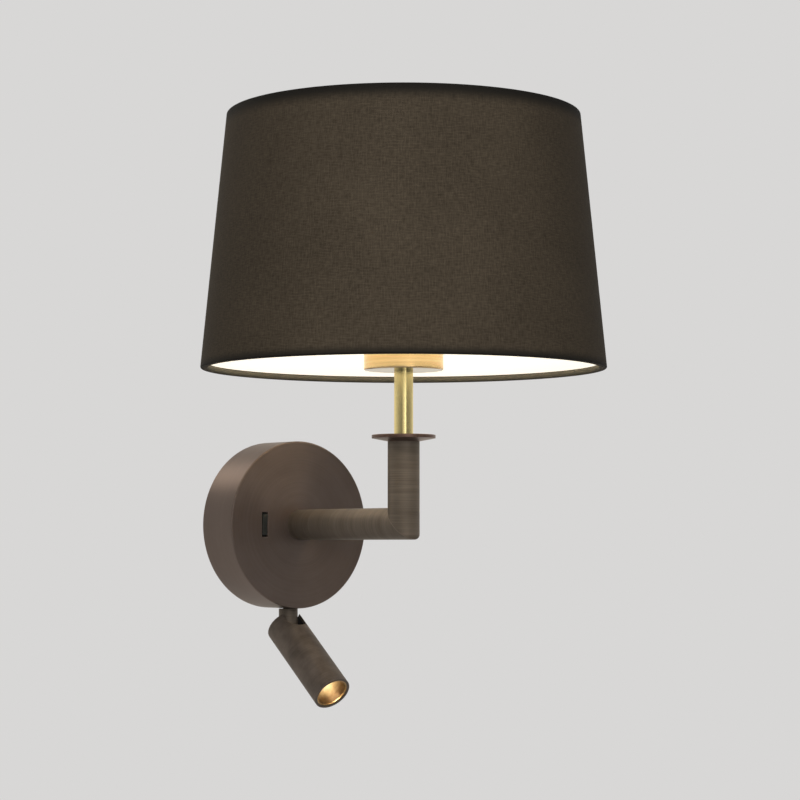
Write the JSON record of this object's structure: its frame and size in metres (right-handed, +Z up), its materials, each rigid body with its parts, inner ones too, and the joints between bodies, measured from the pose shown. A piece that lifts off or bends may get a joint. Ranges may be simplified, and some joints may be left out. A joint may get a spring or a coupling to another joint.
{
  "type": "wall sconce",
  "caption": "Wall light with a fixed mitred arm, a tapered fabric shade on a brass stem, a round backplate with a rocker switch, and a small reading light that swivels and tilts.",
  "frame": {"origin": "centre of the backplate's back, midway between the two wall screws, on the wall plane", "axes": "+Y into the wall, so the light stands out along -Y; +Z up, the way the shade stands; +X to the right for someone facing the wall"},
  "size_m": [0.254, 0.267, 0.375],
  "materials": {
    "brushed_bronze": "dark bronze, brushed in circles and lacquered",
    "brushed_bronze_tube": "dark bronze, brushed round the tube and lacquered",
    "red_bronze": "dark red-brown bronze, smooth",
    "brushed_brass": "brushed brass, lacquered",
    "satin_brass": "turned brass",
    "zinc_plated_steel": "bright zinc plate",
    "nickel_plated_shell": "pressed thin metal",
    "black_rubber": "moulded",
    "white_plastic": "moulded, fine grain",
    "black_plastic": "moulded, satin",
    "black_glass": "vitrified insulator",
    "opal_glass": "opal, lit",
    "black_brown_fabric": "plain weave, laminated on the liner",
    "cream_liner": "smooth, white",
    "hem_fabric": "plain weave, turned in",
    "white_coated_wire": "powder-coated wire",
    "black_anodised_aluminium": "black anodised",
    "white_board": "white solder mask",
    "yellow_phosphor": "phosphor, lit",
    "gold_reflector": "gold anodised, bright",
    "lead_sheath": "extruded sheath"
  },
  "bodies": {
    "root": {"wall_bracket": "zinc_plated_steel", "cable_grommet": "black_rubber", "backplate_cover": "brushed_bronze", "cover_grub_screws": "zinc_plated_steel", "terminal_block": "white_plastic", "terminal_screws": "zinc_plated_steel", "earth_screw": "satin_brass", "led_driver": "white_plastic", "switch_body": "black_plastic", "arm_nipple": "zinc_plated_steel", "arm_toothed_washer": "zinc_plated_steel", "arm_lock_nut": "zinc_plated_steel", "arm_end_plug": "satin_brass", "arm_tube_horizontal": "brushed_bronze_tube", "arm_tube_upright": "brushed_bronze_tube", "arm_top_plug": "satin_brass", "collar_disc": "red_bronze", "stem_tube": "brushed_brass", "threaded_rod": "zinc_plated_steel", "gallery_cup": "brushed_brass", "gallery_washer": "zinc_plated_steel", "gallery_nut": "zinc_plated_steel", "holder_cap": "white_plastic", "holder_insert": "white_plastic", "holder_contact": "satin_brass", "holder_shell": "nickel_plated_shell", "holder_skirt": "white_plastic", "shade_ring_nut": "white_plastic", "bulb_contact": "nickel_plated_shell", "bulb_insulator": "black_glass", "bulb_cap": "nickel_plated_shell", "bulb_globe": "opal_glass", "shade_fabric": "black_brown_fabric", "shade_liner": "cream_liner", "shade_bottom_ring": "white_coated_wire", "shade_top_ring": "white_coated_wire", "shade_bottom_hem": "hem_fabric", "shade_top_hem": "hem_fabric", "shade_spider": "white_coated_wire", "reader_saddle": "zinc_plated_steel", "lamp_lead": "lead_sheath", "driver_lead": "lead_sheath", "switch_lead": "lead_sheath", "reader_lead": "lead_sheath"},
    "reader_swivel": {"reader_stem": "brushed_bronze_tube", "reader_stop_washer": "zinc_plated_steel", "reader_spring_washer": "zinc_plated_steel", "reader_nut": "zinc_plated_steel", "stem_lead": "lead_sheath"},
    "reader_head": {"head_sleeve": "brushed_bronze_tube", "head_core": "black_anodised_aluminium", "pivot_screws": "zinc_plated_steel", "pivot_washers": "black_plastic", "led_board": "white_board", "led_chip": "yellow_phosphor", "reflector": "gold_reflector", "head_lead": "lead_sheath"},
    "rocker": {"switch_rocker": "black_plastic"}
  },
  "joints": [
    {"name": "reader_swivel", "type": "hinge", "parent": "root", "child": "reader_swivel", "pos_m": [0, -0.0196, -0.055], "axis": [0, 0, 1], "range_deg": [-90, 90]},
    {"name": "reader_tilt", "type": "hinge", "parent": "reader_swivel", "child": "reader_head", "pos_m": [0, -0.0196, -0.0698], "axis": [-1, 0, 0], "range_deg": [-50.8, 39.2]},
    {"name": "switch_press", "type": "hinge", "parent": "root", "child": "rocker", "pos_m": [-0.02825, -0.0286, 0], "axis": [-1, 0, 0], "range_deg": [0, 6]}
  ]
}
